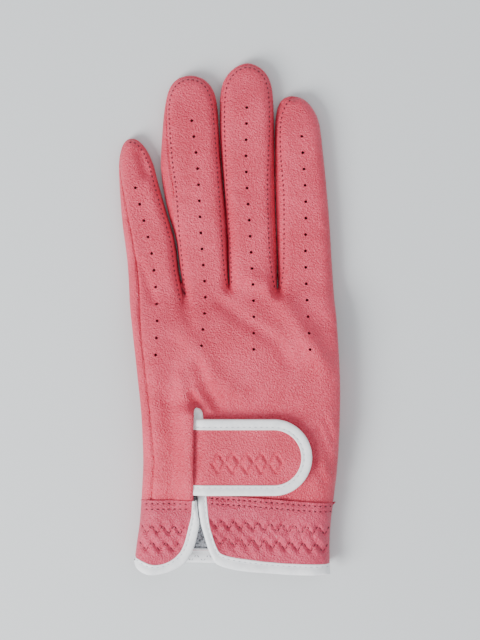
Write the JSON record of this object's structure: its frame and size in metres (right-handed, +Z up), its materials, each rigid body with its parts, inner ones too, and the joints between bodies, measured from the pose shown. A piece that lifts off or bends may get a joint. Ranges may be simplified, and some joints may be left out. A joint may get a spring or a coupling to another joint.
{
  "type": "golf glove",
  "caption": "Left-hand leather golf glove lying on its palm, with jointed finger stalls, a folded-under thumb, an elasticated cuff and a peel-open wrist tab.",
  "frame": {"origin": "under the middle of the whole glove, on the surface it lies on", "axes": "+Z up out of the back of the hand, +Y towards the fingertips, +X towards the index finger"},
  "size_m": [0.0917, 0.21, 0.018],
  "materials": {
    "rose_leather": "soft matt grain",
    "white_binding": "smooth satin",
    "elastic_web": "ribbed elastic",
    "lining_mesh": "fine knitted mesh",
    "hook_and_loop": "napped pile",
    "sewing_thread": "spun thread"
  },
  "bodies": {
    "hand": {"back_panel": "rose_leather", "binding_left": "white_binding", "binding_palm_hem": "white_binding", "binding_right": "white_binding", "cuff_left_flap": "rose_leather", "cuff_palm": "rose_leather", "cuff_right_flap": "rose_leather", "elastic_left": "elastic_web", "elastic_palm": "elastic_web", "elastic_right": "elastic_web", "index_side_fold": "rose_leather", "little_ring_fork": "rose_leather", "loop_pad": "hook_and_loop", "middle_index_fork": "rose_leather", "outer_side_strip": "rose_leather", "palm_panel": "rose_leather", "ring_middle_fork": "rose_leather", "slit_loop": "white_binding", "vent_gusset": "lining_mesh"},
    "tab": {"hook_pad": "hook_and_loop", "tab_binding": "white_binding", "tab_leather": "rose_leather", "tab_lining": "white_binding"},
    "thumb": {"thumb_back": "rose_leather", "thumb_front": "rose_leather", "thumb_side_lower": "rose_leather", "thumb_side_upper": "rose_leather"},
    "little_root": {"little_root_back": "rose_leather", "little_root_fourchette_right": "rose_leather", "little_root_palm": "rose_leather", "little_root_seam_side": "rose_leather"},
    "little_tip": {"little_tip_back": "rose_leather", "little_tip_fourchette_right": "rose_leather", "little_tip_palm": "rose_leather", "little_tip_seam_side": "rose_leather"},
    "ring_root": {"ring_root_back": "rose_leather", "ring_root_fourchette_left": "rose_leather", "ring_root_fourchette_right": "rose_leather", "ring_root_palm": "rose_leather"},
    "ring_tip": {"ring_tip_back": "rose_leather", "ring_tip_fourchette_left": "rose_leather", "ring_tip_fourchette_right": "rose_leather", "ring_tip_palm": "rose_leather"},
    "middle_root": {"middle_root_back": "rose_leather", "middle_root_fourchette_left": "rose_leather", "middle_root_fourchette_right": "rose_leather", "middle_root_palm": "rose_leather"},
    "middle_tip": {"middle_tip_back": "rose_leather", "middle_tip_fourchette_left": "rose_leather", "middle_tip_fourchette_right": "rose_leather", "middle_tip_palm": "rose_leather"},
    "index_root": {"index_root_back": "rose_leather", "index_root_fold_side": "rose_leather", "index_root_fourchette_left": "rose_leather", "index_root_palm": "rose_leather"},
    "index_tip": {"index_tip_back": "rose_leather", "index_tip_fold_side": "rose_leather", "index_tip_fourchette_left": "rose_leather", "index_tip_palm": "rose_leather"}
  },
  "joints": [
    {"name": "little_knuckle", "type": "hinge", "parent": "hand", "child": "little_root", "pos_m": [-0.0316, 0.016, 0.0004], "axis": [-1, 0, 0], "range_deg": [0, 85]},
    {"name": "little_middle_joint", "type": "hinge", "parent": "little_root", "child": "little_tip", "pos_m": [-0.03601, 0.043, 0.0004], "axis": [-1, 0, 0], "range_deg": [0, 85]},
    {"name": "ring_knuckle", "type": "hinge", "parent": "hand", "child": "ring_root", "pos_m": [-0.0108, 0.022, 0.0004], "axis": [-1, 0, 0], "range_deg": [0, 85]},
    {"name": "ring_middle_joint", "type": "hinge", "parent": "ring_root", "child": "ring_tip", "pos_m": [-0.01396, 0.059, 0.0004], "axis": [-1, 0, 0], "range_deg": [0, 85]},
    {"name": "middle_knuckle", "type": "hinge", "parent": "hand", "child": "middle_root", "pos_m": [0.0098, 0.022, 0.0004], "axis": [-1, 0, 0], "range_deg": [0, 85]},
    {"name": "middle_middle_joint", "type": "hinge", "parent": "middle_root", "child": "middle_tip", "pos_m": [0.0083, 0.061, 0.0004], "axis": [-1, 0, 0], "range_deg": [0, 85]},
    {"name": "index_knuckle", "type": "hinge", "parent": "hand", "child": "index_root", "pos_m": [0.0317, 0.022, 0.0004], "axis": [-1, 0, 0], "range_deg": [0, 85]},
    {"name": "index_middle_joint", "type": "hinge", "parent": "index_root", "child": "index_tip", "pos_m": [0.02967, 0.056, 0.0004], "axis": [-1, 0, 0], "range_deg": [0, 85]},
    {"name": "thumb_unfold", "type": "hinge", "parent": "hand", "child": "thumb", "pos_m": [0.043, -0.031, 0.0068], "axis": [0, -1, 0], "range_deg": [0, 140]},
    {"name": "tab_peel", "type": "hinge", "parent": "hand", "child": "tab", "pos_m": [-0.0148, -0.0556, 0.018], "axis": [0, -1, 0], "range_deg": [0, 150]}
  ]
}
